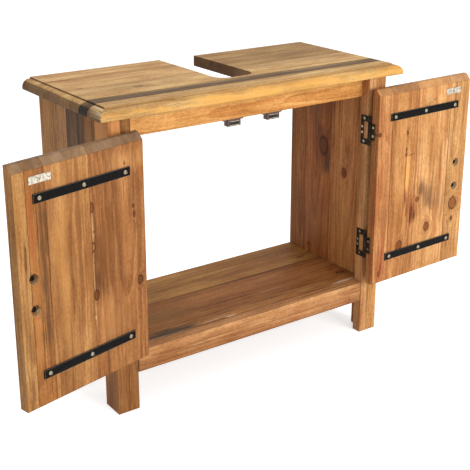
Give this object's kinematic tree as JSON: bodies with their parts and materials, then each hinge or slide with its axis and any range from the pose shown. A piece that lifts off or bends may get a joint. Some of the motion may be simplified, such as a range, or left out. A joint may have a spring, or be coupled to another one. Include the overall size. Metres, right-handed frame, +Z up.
{
  "type": "sink base cabinet",
  "caption": "Low pine cabinet for a basin: moulded plank top with a slot for the trap, open back, a shelf, and two plank doors on side hinges with straps, pulls and magnetic catches.",
  "frame": {"origin": "on the floor, under the middle of the top's width and depth", "axes": "+X to the right as seen from the front, +Y to the back, +Z up"},
  "size_m": [1.1043, 0.3896, 0.6],
  "materials": {
    "front_board_pine": "oiled and worn",
    "dark_strip_pine": "oiled and worn",
    "top_pine": "oiled and worn",
    "leg_pine": "oiled and worn",
    "side_pine": "oiled and worn",
    "apron_pine": "oiled and worn",
    "shelf_pine": "oiled and worn",
    "cleat_pine": "oiled and worn",
    "left_door_pine": "oiled and worn",
    "right_door_pine": "oiled and worn",
    "black_iron": "satin black",
    "bronzed_steel": "dark bronze, satin",
    "zinc_steel": "zinc plated",
    "brown_plastic": "moulded",
    "ferrite": "sintered"
  },
  "bodies": {
    "cabinet": {"top_front_board": "front_board_pine", "top_dark_strip": "dark_strip_pine", "top_middle_board": "top_pine", "top_rear_left_board": "top_pine", "top_rear_right_board": "top_pine", "front_left_post": "leg_pine", "rear_left_post": "leg_pine", "rear_right_post": "leg_pine", "front_left_batten": "leg_pine", "front_right_post": "apron_pine", "front_right_batten": "apron_pine", "apron": "apron_pine", "shelf_front_rail": "apron_pine", "left_side_front_board": "side_pine", "left_side_middle_board": "side_pine", "left_side_rear_board": "side_pine", "right_side_front_board": "side_pine", "right_side_rear_board": "side_pine", "shelf_front_board": "shelf_pine", "shelf_middle_board": "shelf_pine", "shelf_rear_board": "shelf_pine", "top_left_cleat": "cleat_pine", "top_right_cleat": "cleat_pine", "shelf_left_cleat": "cleat_pine", "shelf_right_cleat": "cleat_pine", "upper_left_frame_leaf": "bronzed_steel", "lower_left_frame_leaf": "bronzed_steel", "upper_right_frame_leaf": "bronzed_steel", "lower_right_frame_leaf": "bronzed_steel", "hinge_pins": "bronzed_steel", "hinge_and_catch_screws": "bronzed_steel", "cleat_screws": "zinc_steel", "catch_pole_plates": "zinc_steel", "left_catch_housing": "brown_plastic", "right_catch_housing": "brown_plastic", "catch_magnets": "ferrite"},
    "left_door": {"left_door_free_board": "left_door_pine", "left_door_second_board": "left_door_pine", "left_door_third_board": "left_door_pine", "left_door_hinge_board": "left_door_pine", "left_door_upper_strap": "black_iron", "left_door_lower_strap": "black_iron", "left_door_handle": "black_iron", "left_door_handle_bolts": "black_iron", "left_door_strap_screws": "zinc_steel", "left_door_strike_plate": "zinc_steel", "left_door_hinge_leaves": "bronzed_steel", "left_door_small_screws": "bronzed_steel"},
    "right_door": {"right_door_free_board": "right_door_pine", "right_door_second_board": "right_door_pine", "right_door_third_board": "right_door_pine", "right_door_hinge_board": "right_door_pine", "right_door_upper_strap": "black_iron", "right_door_lower_strap": "black_iron", "right_door_handle": "black_iron", "right_door_handle_bolts": "black_iron", "right_door_strap_screws": "zinc_steel", "right_door_strike_plate": "zinc_steel", "right_door_hinge_leaves": "bronzed_steel", "right_door_small_screws": "bronzed_steel"}
  },
  "joints": [
    {"name": "left_door_hinge", "type": "hinge", "parent": "cabinet", "child": "left_door", "pos_m": [-0.279, -0.142, 0.339], "axis": [0, 0, -1], "range_deg": [-167, 23]},
    {"name": "right_door_hinge", "type": "hinge", "parent": "cabinet", "child": "right_door", "pos_m": [0.279, -0.142, 0.339], "axis": [0, 0, 1], "range_deg": [-182, 8]}
  ]
}
